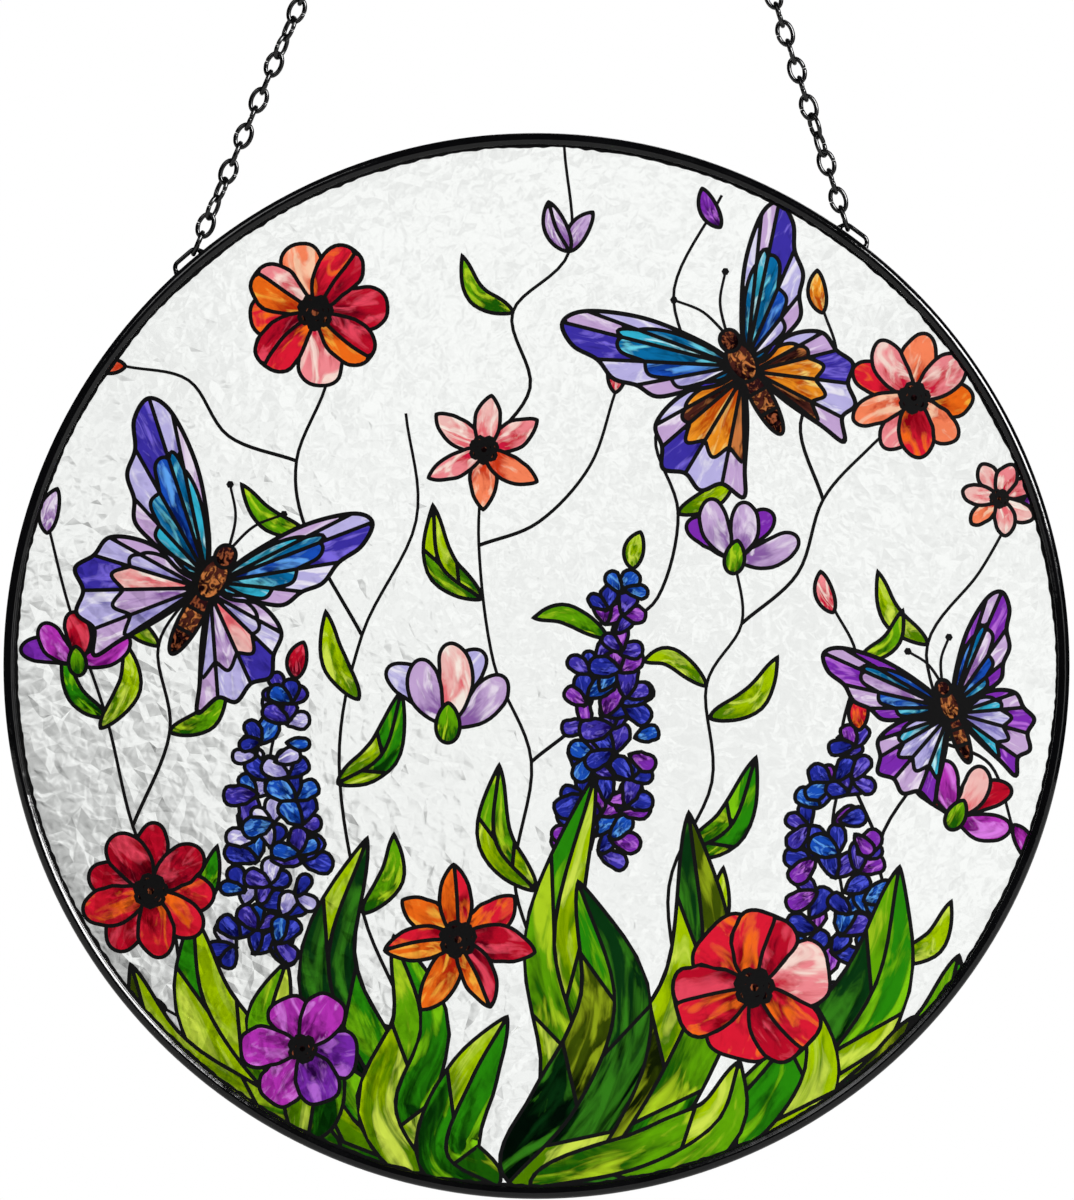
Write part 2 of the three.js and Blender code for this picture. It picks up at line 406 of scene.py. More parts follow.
class Artwork:
    """Everything that is printed, in the order of printing: each new shape hides what lies under it."""

    def __init__(self, line_width):
        self.half_line = line_width / 2
        self.layers = []

    def black(self, outline):
        """An area of plain black."""
        if len(outline) > 2:
            self.layers.append((outline, None))

    def stem(self, points, width=None, end_width=None):
        """A black line through the points, thinner towards its end where a second width is given."""
        line = smooth_line(points, 8)
        start = width or self.half_line * 1.7
        end = end_width or start
        count = len(line) - 1
        left, right = [], []
        for index, point in enumerate(line):
            along = (line[min(count, index + 1)] - line[max(0, index - 1)]).normalized()
            half = (start + (end - start) * index / count) / 2
            left.append(point + Vector((-along.y, along.x)) * half)
            right.append(point - Vector((-along.y, along.x)) * half)
        self.black(right + left[::-1])

    def colour(self, outline, line, shades, streak):
        """One cell, half a line inside its outline. Streaks of that length and width follow the line."""
        inner = offset_outline(closer_spaced(outline, 0.9), -self.half_line)
        if len(inner) > 2 and turned_area(inner) > 0.4:
            self.layers.append((inner, (line, shades, streak)))

    def shape(self, blade, shades, cells=(WHOLE,), streak=(4.0, 1.0)):
        """A black silhouette with coloured cells, whose inks are taken in turn."""
        self.black(offset_outline(blade.outline(), self.half_line))
        for index, cell in enumerate(cells):
            outline = blade.outline() if cell == WHOLE else blade.cell(*cell)
            self.colour(outline, blade.line, shades[index % len(shades)], streak)

    def fan(self, hub, outline, cuts, ring, inner_inks, outer_inks, streak):
        """A wing: cells that fan out from a hub to the outline, each one parted again near the edge."""
        self.black(offset_outline(outline, self.half_line * 1.3))
        for index, (first, last) in enumerate(zip(cuts, cuts[1:])):
            arc = outline[first:last + 1]
            bend = [hub.lerp(point, ring + 0.05 * math.sin(math.pi * k / (len(arc) - 1)))
                    for k, point in enumerate(arc)]
            spine = [hub.copy(), arc[len(arc) // 2].copy()]
            self.colour(bend + [hub.lerp(point, 0.1) for point in reversed(arc)], spine,
                        inner_inks[index % len(inner_inks)], streak)
            self.colour(arc + bend[::-1], spine, outer_inks[index % len(outer_inks)], streak)


# Light crosses one film of ink, and the shader tints each crossing by the colour's square root.
INK_DEPTH = 1.9

# Inks as (deep, light, fleck), in sRGB hex.
INKS = {
    "red": ("9a0018", "e8203c", "ff7a1e"),
    "crimson": ("6e0018", "c8102e", "f0506a"),
    "coral": ("d8401c", "ff9468", "ffd2b4"),
    "orange": ("c02810", "f6781c", "ffbe46"),
    "amber": ("c8500e", "f8a428", "ffe080"),
    "pink": ("d81e46", "f898a0", "ffe4dc"),
    "blush": ("f07882", "f8c8c4", "fff2ea"),
    "magenta": ("7a0c7c", "c83cc8", "e88cf0"),
    "plum": ("3c0c5a", "8c32be", "c878e6"),
    "lilac": ("9a6ab4", "d2b4e0", "f2e6f6"),
    "mist": ("8c82c8", "c8c0ee", "f4f0fc"),
    "indigo": ("0a0a50", "2832a8", "5a64e6"),
    "violet": ("1e0f64", "4638b4", "8c78ea"),
    "blue": ("08206e", "1e5ac8", "6eb4fa"),
    "teal": ("04325a", "0e7ab4", "78dcf0"),
    "aqua": ("0a6e8c", "3cc0dc", "c8f4fa"),
    "lime": ("5a8c00", "b4d200", "dcec5a"),
    "leaf": ("1e6408", "6eb40a", "bedc28"),
    "grass": ("0a3c08", "2e960e", "8cd214"),
    "pine": ("020f06", "0c3c14", "3c8c1e"),
    "olive": ("141e04", "465a08", "a0b41e"),
    "bark": ("0c0405", "34161a", "b0603c"),
    "cocoa": ("1a080c", "5a2a22", "d8884a"),
}


def inks(names):
    """The inks that a line of words names."""
    return [INKS[name] for name in names.split()]


def dot_outline(centre, radius, corners):
    """A small round dot."""
    return [centre + pointing(2 * math.pi * k / corners) * radius for k in range(corners)]


def draw_flower(art, centre, radius, petals, names, turn=0.0, width=0.62, start=0.9, end=0.42, heart=0.2,
                split=False, bow=0.06, seed=0):
    """An open flower: overlapping petals, each one a cell or split down its middle, round a dark heart."""
    draws = random.Random(seed)
    centre = Vector(centre)
    shades = inks(names)
    order = list(range(0, petals, 2)) + list(range(1, petals, 2))
    for place in order:
        angle = math.radians(turn) + 2 * math.pi * place / petals + draws.uniform(-0.09, 0.09)
        tip = centre + pointing(angle) * radius * draws.uniform(0.9, 1.06)
        line = bowed_line(centre, tip, draws.uniform(-bow, bow))
        breadth = radius * width * draws.uniform(0.9, 1.1)
        blade = Blade(line, breadth, start, end, wobble=0.12, seed=seed + place)
        cells = ((0, 1, -1, 0.12), (0, 1, 0.12, 1)) if split and place % 2 else (WHOLE,)
        first = draws.randrange(len(shades))
        art.shape(blade, [shades[(first + k) % len(shades)] for k in range(2)], cells,
                  streak=(radius * 0.42, radius * 0.17))
    core = radius * heart
    # The heart: three rings of dark dots, every other one with a warm fleck.
    for count, reach, size in ((7, 0.75, 0.6), (5, 0.4, 0.55), (1, 0.0, 0.6)):
        for k in range(count):
            angle = 2 * math.pi * (k + draws.random() * 0.4) / count
            spot = centre + pointing(angle) * core * reach
            art.black(dot_outline(spot, core * size, 8))
            if k % 2 == 0:
                fleck = dot_outline(spot, core * size * 0.42, 8)
                art.layers.append((fleck, ([spot, spot + Vector((0, 1))], INKS["bark"], (1.0, 1.0))))


def draw_side_flower(art, base, direction, length, names, seed=0, petals=5, spread=60):
    """A flower seen from the side: petals fan out from a small green cup."""
    draws = random.Random(seed)
    base = Vector(base)
    shades = inks(names)
    middle = (petals - 1) / 2
    for place in sorted(range(petals), key=lambda k: -abs(k - middle)):
        angle = math.radians(direction + spread * (place / middle - 1))
        tip = base + pointing(angle) * length * draws.uniform(0.85, 1.05)
        blade = Blade(bowed_line(base, tip, 0.1 if place % 2 else -0.1), length * 0.42, 0.8, 0.5, wobble=0.1,
                      seed=seed + place)
        art.shape(blade, [shades[place % len(shades)]], streak=(length * 0.45, length * 0.17))
    ahead = pointing(math.radians(direction))
    cup = Blade([base - ahead * length * 0.22, base + ahead * length * 0.28], length * 0.3, 0.5, 0.7)
    art.shape(cup, inks("leaf"))


def draw_bud(art, base, direction, length, name, width=0.42):
    """A closed bud, pointed at its tip, and parted along its middle where it is large."""
    tip = Vector(base) + pointing(math.radians(direction)) * length
    cells = ((0, 1, -1, 0.05), (0, 1, 0.05, 1)) if length > 9 else (WHOLE,)
    art.shape(Blade(bowed_line(base, tip, 0.07), length * width, 0.7, 0.8), inks(name), cells,
              streak=(length * 0.35, 0.9))


def draw_leaf(art, line, width, names, cells=1, start=0.7, end=0.9, streak=(13.0, 3.0)):
    """A leaf. With more cells it is parted along its middle and across by slanting veins."""
    shades = inks(names)
    blade = Blade(line, width, start, end, wobble=0.08, seed=len(shades) + width)
    parts = [WHOLE] if cells == 1 else []
    if cells > 1:
        for low, high, shift in ((-1, 0, 0.0), (0, 1, -0.5)):
            edges = [0] + [(k + shift) / cells for k in range(1, cells)] + [1]
            for k in range(cells):
                lean0, lean1 = 0.16 if k else 0, 0.16 if k + 1 < cells else 0
                parts.append((edges[k], edges[k + 1], low, high, lean0, lean1))
    art.shape(blade, shades, parts, streak)


def draw_spire(art, line, width, names, seed, tip_name="crimson", spacing=3.9):
    """A spire of small bells crowded round a stem, widest below its middle, with a bud on top."""
    draws = random.Random(seed)
    shades = inks(names)
    art.stem(line)
    path = smooth_line(line, 12)
    length = sum((b - a).length for a, b in zip(path, path[1:]))
    rows = int(length / spacing)
    for row in range(rows):
        share = row / rows
        spot = path[int(share * (len(path) - 1))]
        swell = math.sin(math.pi * min(1.0, 0.28 + share * 0.72)) ** 0.8
        half = width / 2 * max(0.22, swell)
        count = max(2, round(half * 2 / 4.3))
        for k in range(count):
            side = ((k + 0.5) / count * 2 - 1) * half + draws.uniform(-1.0, 1.0)
            place = spot + Vector((side, draws.uniform(-1.4, 1.4)))
            lean = 90 - side / half * 70 + draws.uniform(-40, 40)
            for petal in range(draws.choice((1, 2, 2, 3))):
                angle = math.radians(lean + (petal - 0.75) * 66 + draws.uniform(-16, 16))
                size = draws.uniform(3.8, 5.6) * (0.78 + 0.3 * swell)
                tip = place + pointing(angle) * size
                blade = Blade([place - (tip - place) * 0.12, tip], size * draws.uniform(0.6, 0.78), 0.8, 0.42,
                              steps=4, wobble=0.2, seed=seed + row)
                outline = blade.outline(10)
                art.black(offset_outline(outline, art.half_line))
                art.colour(outline, blade.line, draws.choice(shades), (2.0, 0.8))
    draw_bud(art, path[-1] - Vector((0, 0.8)), 90 + draws.uniform(-12, 12), 7.0, tip_name, 0.52)


# A wing's outline from its root, as (outwards, forwards), in shares of the butterfly's size.
FORE_WING = ((0.02, 0.0), (0.2, 0.34), (0.52, 0.74), (0.9, 1.02), (1.12, 1.04), (1.14, 0.84), (1.02, 0.64),
             (0.98, 0.44), (0.84, 0.3), (0.74, 0.14), (0.5, 0.06), (0.24, -0.02))
HIND_WING = ((0.02, -0.02), (0.3, 0.04), (0.62, 0.04), (0.86, -0.06), (0.9, -0.24), (0.98, -0.4),
             (0.84, -0.52), (0.8, -0.7), (0.62, -0.74), (0.52, -0.92), (0.4, -0.72), (0.2, -0.4))


def draw_butterfly(art, centre, heading, size, upper, lower, tips, fold):
    """A butterfly from above, its right wings foreshortened by the fold: veined cells, feelers and body."""
    centre = Vector(centre)
    forward = pointing(math.radians(heading))
    for side in (-1, 1):
        across = Vector((forward.y, -forward.x)) * side * (fold if side > 0 else 1.0)

        def spread(points):
            return [centre + (across * u + forward * v) * size for u, v in points]
        for knots, names, hub in ((HIND_WING, lower, (0.05, -0.06)), (FORE_WING, upper, (0.05, 0.04))):
            outline = smooth_line(spread(knots + knots[:1]), 8)[:-1]
            art.fan(spread([hub])[0], outline, (8, 24, 32, 48, 64, 80, 88), 0.66, inks(names), inks(tips),
                    (size * 0.24, size * 0.07))
    for side in (-1, 1):
        across = Vector((-forward.y, forward.x)) * side
        neck = centre + forward * size * 0.3
        club = neck + forward * size * 0.46 + across * size * 0.24
        art.stem([neck, neck + forward * size * 0.26 + across * size * 0.08, club], 0.6, 0.5)
        art.black(dot_outline(club, 0.75, 6))
    rings = ((0.0, 0.36, -1, 1), (0.36, 0.68, -1, 1), (0.68, 1.0, -1, 1))
    for rear, front, width, start, end, names, cells in (
            (-0.62, -0.04, 0.17, 0.5, 0.4, "bark cocoa bark", rings),
            (-0.12, 0.22, 0.22, 0.45, 0.45, "cocoa", (WHOLE,)),
            (0.16, 0.34, 0.16, 0.45, 0.45, "bark", (WHOLE,))):
        spine = [centre + forward * size * rear, centre + forward * size * front]
        art.shape(Blade(spine, size * width, start, end), inks(names), cells, streak=(1.0, 0.8))


def draw_stems(art):
    """The thin curling stems, some with small leaves and buds."""
    for points in (
            [(-16, -97), (-20, -70), (-30, -48), (-36, -20), (-33, 4), (-24, 26), (-27, 46)],
            [(-33, 4), (-44, 22), (-47, 36), (-42, 52), (-45, 64)],
            [(-62, -72), (-66, -50), (-74, -34), (-80, -14), (-88, 6), (-93, 22)],
            [(-74, -34), (-68, -16), (-71, 0), (-64, 12)],
            [(6, -96), (4, -60), (-2, -40), (0, -18), (-8, 0), (-12, 22), (-12, 40)],
            [(0, -18), (10, -8), (13, 6), (22, 14), (25, 30), (20, 44), (26, 56), (22, 72), (30, 90)],
            [(24, -96), (30, -66), (27, -40), (34, -20), (32, -2), (38, 10), (36, 22)],
            [(38, 10), (48, 20), (52, 34), (60, 44), (68, 52)],
            [(52, 34), (47, 48), (53, 60), (50, 70)],
            [(60, -74), (70, -50), (66, -30), (76, -10), (73, 8), (82, 22), (88, 34)],
            [(66, -30), (58, -12), (60, 4), (55, 14)],
            [(76, -10), (86, -14), (91, -26)],
            [(-20, -70), (-40, -66), (-52, -74), (-66, -68)],
            [(-47, 36), (-60, 40), (-68, 50), (-80, 52)],
            [(-12, 40), (-4, 52), (-8, 66), (2, 78), (0, 97.5)],
            [(-12, 22), (-1, 27), (8, 38), (12, 52)]):
        art.stem(points, 0.72, 0.55)
    for line, width, names in (
            ([(-33, -8), (-38, -1), (-40, 8)], 4.4, "lime"),
            ([(-44, 22), (-52, 25), (-57, 31)], 3.8, "leaf"),
            ([(-71, 0), (-77, 5), (-79, 13)], 3.6, "lime"),
            ([(-80, -14), (-86, -10), (-89, -2)], 3.2, "grass"),
            ([(13, 6), (5, 10), (-1, 9)], 3.6, "leaf"),
            ([(25, 30), (32, 34), (36, 41)], 3.8, "lime"),
            ([(26, 56), (33, 58), (38, 64)], 3.4, "amber"),
            ([(32, -2), (25, 3), (20, 2)], 3.4, "lime"),
            ([(73, 8), (66, 13), (63, 21)], 3.8, "lime"),
            ([(60, 4), (66, 8), (68, 14)], 3.2, "leaf"),
            ([(-8, 66), (-15, 69), (-18, 76)], 3.6, "leaf"),
            ([(-68, -16), (-61, -13), (-58, -6)], 4.0, "leaf"),
            ([(69, -52), (77, -48), (80, -40)], 4.2, "lime"),
            ([(-66, -50), (-60, -45), (-58, -37)], 4.4, "grass"),
            ([(30, -50), (36, -45), (37, -36)], 4.4, "lime"),
            ([(-30, -48), (-25, -41), (-25, -33)], 4.4, "leaf"),
            ([(76, -10), (83, -4), (84, 4)], 3.6, "leaf"),
            ([(33, -8), (41, -4), (45, 4)], 4.6, "lime"),
            ([(-81, -16), (-76, -8), (-77, 0)], 4.2, "lime")):
        draw_leaf(art, line, width, names, streak=(4.0, 1.4))
    for line, width, names in (
            ([(2, -42), (-6, -33), (-6, -19)], 6.4, "lime leaf"),
            ([(29, -34), (38, -28), (42, -15)], 6.6, "leaf grass"),
            ([(-36, -24), (-28, -18), (-25, -6)], 6.0, "lime grass"),
            ([(-11, 12), (-19, 18), (-21, 29)], 5.6, "leaf lime")):
        draw_leaf(art, line, width, names, 2, streak=(6.0, 1.8))
    for base, direction, length, name in (
            ((12, 52), 78, 8.5, "pink"), ((30, 84), 118, 8, "plum"), ((-93, 20), 80, 8.5, "lilac"),
            ((88, 32), 62, 9.5, "plum"), ((91, -25), -64, 7.5, "magenta"), ((-64, 11), 55, 8, "amber"),
            ((-80, 52), 172, 7, "coral"), ((-66, -68), 160, 7.5, "red"), ((2, 78), 62, 8.5, "lilac"),
            ((2, 78), 116, 10, "lilac"), ((55, 13), 110, 8, "pink"), ((50, 69), 100, 8, "amber")):
        draw_bud(art, base, direction, length, name)


def draw_broad_leaves(art):
    """The broad leaves that fan out from the bottom of the ring."""
    for line, width, names, cells in (
            ([(30, -95), (50, -80), (66, -58), (70, -34)], 17, "grass pine leaf olive lime", 3),
            ([(-20, -95), (-42, -86), (-58, -68), (-62, -50)], 15, "leaf lime grass lime", 3),
            ([(8, -96), (12, -74), (6, -50), (12, -20)], 14, "lime leaf grass pine leaf", 3),
            ([(44, -90), (64, -80), (78, -66), (82, -50)], 14, "lime leaf olive grass", 2),
            ([(-8, -97), (-26, -80), (-36, -58), (-30, -34)], 14, "grass pine lime leaf", 3),
            ([(16, -96), (28, -74), (34, -54), (30, -26)], 16, "olive lime pine grass leaf", 3),
            ([(-32, -93), (-50, -87), (-66, -76), (-73, -60)], 12, "grass olive leaf lime", 2),
            ([(34, -94), (56, -88), (68, -76), (74, -62)], 14, "pine olive grass pine", 2),
            ([(0, -97), (12, -82), (18, -62), (10, -40)], 17, "pine olive grass lime pine", 3),
            ([(-14, -97), (-22, -84), (-18, -68), (-24, -52)], 14, "lime leaf lime grass", 2),
            ([(22, -97), (42, -90), (54, -74), (52, -56)], 17, "lime grass leaf olive lime", 3),
            ([(-38, -91), (-38, -80), (-46, -70), (-44, -58)], 12, "lime leaf grass", 2),
            ([(4, -98), (24, -93), (38, -84), (42, -72)], 13, "leaf lime pine", 2),
            ([(-2, -98), (-12, -92), (-8, -78), (-2, -66)], 12, "grass lime leaf", 2)):
        draw_leaf(art, line, width, names, cells, start=0.45, end=0.8)


def draw_garden(settings):
    """The whole design: butterflies over a flower bed, with clear ground between."""
    art = Artwork(settings.print_line / MM)
    draw_stems(art)
    draw_spire(art, [(-50, -56), (-47, -38), (-49, -20), (-45, -4)], 14,
               "indigo violet blue indigo mist", 11, "crimson")
    draw_spire(art, [(12, -34), (15, -16), (13, 2), (17, 20)], 13,
               "indigo blue violet indigo plum", 12, "lime")
    draw_spire(art, [(56, -62), (60, -44), (57, -26), (61, -8)], 15,
               "violet indigo blue indigo plum", 13, "red")
    draw_broad_leaves(art)
    draw_flower(art, (-45, 64), 13.5, 8, "red crimson orange pink coral", 10, 0.6, seed=21, split=True)
    draw_flower(art, (68, 54), 12.0, 9, "coral orange pink red", 0, 0.5, 0.8, 0.55, seed=22)
    draw_flower(art, (85, 36), 7.5, 7, "coral blush pink", 20, 0.5, 0.8, 0.6, seed=23)
    draw_flower(art, (-12, 40), 11.0, 6, "coral pink blush orange", 30, 0.42, 0.8, 0.8, seed=24)
    draw_side_flower(art, (-16, -12), 92, 15, "lilac mist blush", 25, 5, 48)
    draw_side_flower(art, (36, 22), 84, 12.5, "lilac plum lilac", 26, 5, 62)
    draw_side_flower(art, (-86, -4), 100, 11, "magenta plum crimson", 27, 5, 70)
    draw_side_flower(art, (80, -24), 66, 12, "magenta crimson blush", 28, 5, 74)
    draw_flower(art, (44, -58), 15.0, 6, "crimson red pink red", 15, 0.86, 0.75, 0.3, seed=29, split=True)
    draw_flower(art, (-12, -52), 14.0, 7, "orange red coral crimson", 40, 0.46, 0.8, 0.75, seed=30,
                split=True)
    draw_flower(art, (-70, -46), 13.0, 9, "crimson red orange crimson amber", 5, 0.52, 0.8, 0.5, seed=31)
    draw_flower(art, (-40, -74), 11.0, 6, "magenta plum pink", 0, 0.74, 0.8, 0.35, seed=32)
    draw_butterfly(art, (36, 58), 122, 23, "teal aqua teal blue mist", "amber cocoa amber",
                   "mist lilac violet", 0.8)
    draw_butterfly(art, (-62, 12), 64, 24, "aqua teal blue teal", "lilac mist blush",
                   "lilac mist violet mist", 0.78)
    draw_butterfly(art, (78, -4), 112, 17, "blue teal lilac", "mist aqua mist", "plum lilac", 0.85)
    return art


def ragged_reach(turn, radius, wander):
    """The radius, at that angle, of a circle that wanders as a hand-cut mask leaves it."""
    at = Vector((math.cos(turn), math.sin(turn), 0.4))
    bend, fray = noise.noise(at * 11), noise.noise(at * 62)
    return radius + wander * (0.7 * bend + 0.9 * fray)


def ragged_circle(radius, wander, count=1440):
    """That circle's outline."""
    turns = [2 * math.pi * k / count for k in range(count)]
    return [pointing(turn) * ragged_reach(turn, radius, wander) for turn in turns]


def top_outlines(centres, outlines):
    """For each point, the last of the outlines that it lies in, or -1."""
    top = np.full(len(centres), -1)
    for index, outline in enumerate(outlines):
        points = np.array(outline)
        near = np.nonzero(((centres >= points.min(0)) & (centres <= points.max(0))).all(1))[0]
        x, y = centres[near, 0][:, None], centres[near, 1][:, None]
        ax, ay = points[:, 0], points[:, 1]
        bx, by = np.roll(ax, -1), np.roll(ay, -1)
        side = (bx - ax) * (y - ay) - (x - ax) * (by - ay)
        winding = ((ay <= y) & (by > y) & (side > 0)).sum(1) - ((ay > y) & (by <= y) & (side < 0)).sum(1)
        top[near[winding > 0]] = index
    return top


def run_along(line, point):
    """How far along the line, and how far beside it, a point lies, in millimetres."""
    best, result, walked = 1e9, (0.0, 0.0), 0.0
    for a, b in zip(line, line[1:]):
        side = b - a
        length = side.length
        if length < 1e-9:
            continue
        share = min(1.0, max(0.0, (point - a).dot(side) / (length * length)))
        away = point - a - side * share
        if away.length_squared < best:
            best = away.length_squared
            result = (walked + share * length, side.cross(point - a) / length)
        walked += length
    return (*result, walked)


def print_layers(art, settings):
    """The artwork as one flat map: the triangles of each ink, where only the topmost shape shows."""
    limit = (PANEL_RADIUS - settings.hidden_margin) / MM
    border = (PANEL_RADIUS - settings.border_width) / MM
    wander = settings.border_wander / MM
    outlines = [ragged_circle(limit, 0.0), ragged_circle(border, wander)]
    outlines += [outline if turned_area(outline) > 0 else outline[::-1] for outline, _ in art.layers]
    spots, faces = [], []
    for outline in outlines:
        faces.append(list(range(len(spots), len(spots) + len(outline))))
        spots.extend(outline)
    # The streaks' middle lines give the large cells points inside, so that the streaks bend with them.
    for _, fill in art.layers:
        if fill:
            spots.extend(fill[0][1:-1])
    flat, _, triangles, _, _, _ = delaunay_2d_cdt(spots, [], faces, 0, 1e-4)
    points = np.array(flat)
    centres = points[np.array(triangles)].mean(1)
    tops = top_outlines(centres, outlines[2:])
    black, coloured = [], []
    for triangle, centre, top in zip(triangles, centres, tops.tolist()):
        reach = math.hypot(*centre)
        if reach > limit:
            continue
        if reach > ragged_reach(math.atan2(centre[1], centre[0]), border, wander):
            black.append(triangle)
        elif top >= 0:
            if art.layers[top][1]:
                coloured.append((triangle, top))
            else:
                black.append(triangle)
    return flat, black, coloured


def place_print(flat, turn, lift):
    """Flat points as points in front of the panel. Up in the design is up in the photograph."""
    cosine, sine = math.cos(turn), math.sin(turn)
    return [Vector(((p.x * cosine - p.y * sine) * MM, PANEL_FRONT - lift,
                    RING_CENTRE.z + (p.x * sine + p.y * cosine) * MM)) for p in flat]


def used_part(places, triangles):
    """Only the vertices that the triangles use."""
    lookup, vertices, faces = {}, [], []
    for triangle in triangles:
        corners = []
        for corner in triangle:
            if corner not in lookup:
                lookup[corner] = len(vertices)
                vertices.append(places[corner])
            corners.append(lookup[corner])
        faces.append(tuple(corners))
    return vertices, faces


def black_ink_material(colour):
    """Black screen ink, a satin film that no light passes. Its fine grain is drawn 0.67 mm wide, to show."""
    material, tree, output = new_material("black_screen_ink")
    place = add_node(tree, "ShaderNodeTexCoord").outputs["Object"]
    grain = add_node(tree, "ShaderNodeTexNoise", {"Scale": per_size(0.67), "Detail": 2.0}, {"Vector": place})
    tone = add_node(tree, "ShaderNodeMix", {"A": opaque(colour), "B": opaque(linear("0b0a0b"))},
                    {"Factor": grain.outputs["Fac"]}, data_type="RGBA")
    shader = add_node(tree, "ShaderNodeBsdfPrincipled",
                      {"IOR": 1.4, "Roughness": 0.35, "Specular IOR Level": 0.2},
                      {"Base Color": tone.outputs["Result"]})
    tree.links.new(shader.outputs["BSDF"], output.inputs["Surface"])
    return material


def colour_ink_material():
    """Translucent glass inks. Each cell runs from a deep foot to a light tip, in streaks sized in millimetres
    by the ink_run attribute, with flecks of a third shade."""
    material, tree, output = new_material("translucent_glass_inks")
    run = add_node(tree, "ShaderNodeAttribute", attribute_name="ink_run").outputs["Vector"]
    share = add_node(tree, "ShaderNodeAttribute", attribute_name="ink_share").outputs["Fac"]
    shades = [add_node(tree, "ShaderNodeAttribute", attribute_name=name).outputs["Color"]
              for name in ("ink_deep", "ink_light", "ink_fleck")]
    streaks = add_node(tree, "ShaderNodeTexNoise",
                       {"Scale": 1.0, "Detail": 3.0, "Roughness": 0.6, "Distortion": 0.5}, {"Vector": run})
    reach = add_node(tree, "ShaderNodeMath", {1: 0.5, 2: -0.25}, {0: share}, operation="MULTIPLY_ADD")
    mixed = add_node(tree, "ShaderNodeMath", {}, {0: streaks.outputs["Fac"], 1: reach.outputs["Value"]},
                     operation="ADD")
    body = add_node(tree, "ShaderNodeMapRange", {"From Min": 0.32, "From Max": 0.66},
                    {"Value": mixed.outputs["Value"]}, interpolation_type="SMOOTHSTEP")
    shift = add_node(tree, "ShaderNodeVectorMath", {1: (31.7, 12.9, 5.3)}, {0: run}, operation="ADD")
    clouds = add_node(tree, "ShaderNodeTexNoise", {"Scale": 0.7, "Detail": 4.0, "Distortion": 1.2},
                      {"Vector": shift.outputs["Vector"]})
    fleck = add_node(tree, "ShaderNodeMapRange", {"From Min": 0.5, "From Max": 0.68},
                     {"Value": clouds.outputs["Fac"]}, interpolation_type="SMOOTHSTEP")
    base = add_node(tree, "ShaderNodeMix", {},
                    {"Factor": body.outputs["Result"], "A": shades[0], "B": shades[1]}, data_type="RGBA")
    colour = add_node(tree, "ShaderNodeMix", {},
                      {"Factor": fleck.outputs["Result"], "A": base.outputs["Result"], "B": shades[2]},
                      data_type="RGBA")
    shader = add_node(tree, "ShaderNodeBsdfPrincipled",
                      {"IOR": 1.02, "Roughness": 0.3, "Transmission Weight": 0.72},
                      {"Base Color": colour.outputs["Result"]})
    tree.links.new(shader.outputs["BSDF"], output.inputs["Surface"])
    return material


def build_print(settings):
    """Both inks, as films that lie on the panel's front."""
    art = draw_garden(settings)
    flat, black, coloured = print_layers(art, settings)
    places = place_print(flat, settings.print_turn, settings.ink_lift)
    vertices, faces = used_part(places, black)
    ink = black_ink_material(settings.line_colour)
    lines = mesh_object("printed_outlines", vertices, faces, [ink], smooth=False)
    finish_piece(lines, "ink_black")
    lookup, vertices, faces, runs, shares = {}, [], [], [], []
    shades = {"ink_deep": [], "ink_light": [], "ink_fleck": []}
    for triangle, layer in coloured:
        line, trio, streak = art.layers[layer][1]
        corners = []
        for corner in triangle:
            if (layer, corner) not in lookup:
                lookup[layer, corner] = len(vertices)
                vertices.append(places[corner])
                along, beside, length = run_along(line, flat[corner])
                runs.extend((along / streak[0], beside / streak[1], layer * 3.37 % 97))
                shares.append(along / max(length, 1e-6))
            corners.append(lookup[layer, corner])
        faces.append(tuple(corners))
        for key, shade in zip(shades, trio):
            shades[key].extend(opaque([channel ** INK_DEPTH for channel in linear(shade)]))
    colours = mesh_object("printed_colours", vertices, faces, [colour_ink_material()], smooth=False)
    mesh = colours.data
    mesh.attributes.new("ink_run", "FLOAT_VECTOR", "POINT").data.foreach_set("vector", runs)
    mesh.attributes.new("ink_share", "FLOAT", "POINT").data.foreach_set("value", shares)
    for key, values in shades.items():
        mesh.attributes.new(key, "FLOAT_COLOR", "FACE").data.foreach_set("color", values)
    finish_piece(colours, "ink_colours")


# The frame

RING_STEPS = 256
ROUND_STEPS = 10
GROOVE_CORNER_STEPS = 4


def arc_points(centre, radius, from_degrees, to_degrees, steps):
    """Points on an arc in a section's plane, as (distance from the axis, place along the axis)."""
    turns = [math.radians(from_degrees + (to_degrees - from_degrees) * k / steps) for k in range(steps + 1)]
    return [(centre[0] + radius * math.cos(turn), centre[1] + radius * math.sin(turn)) for turn in turns]


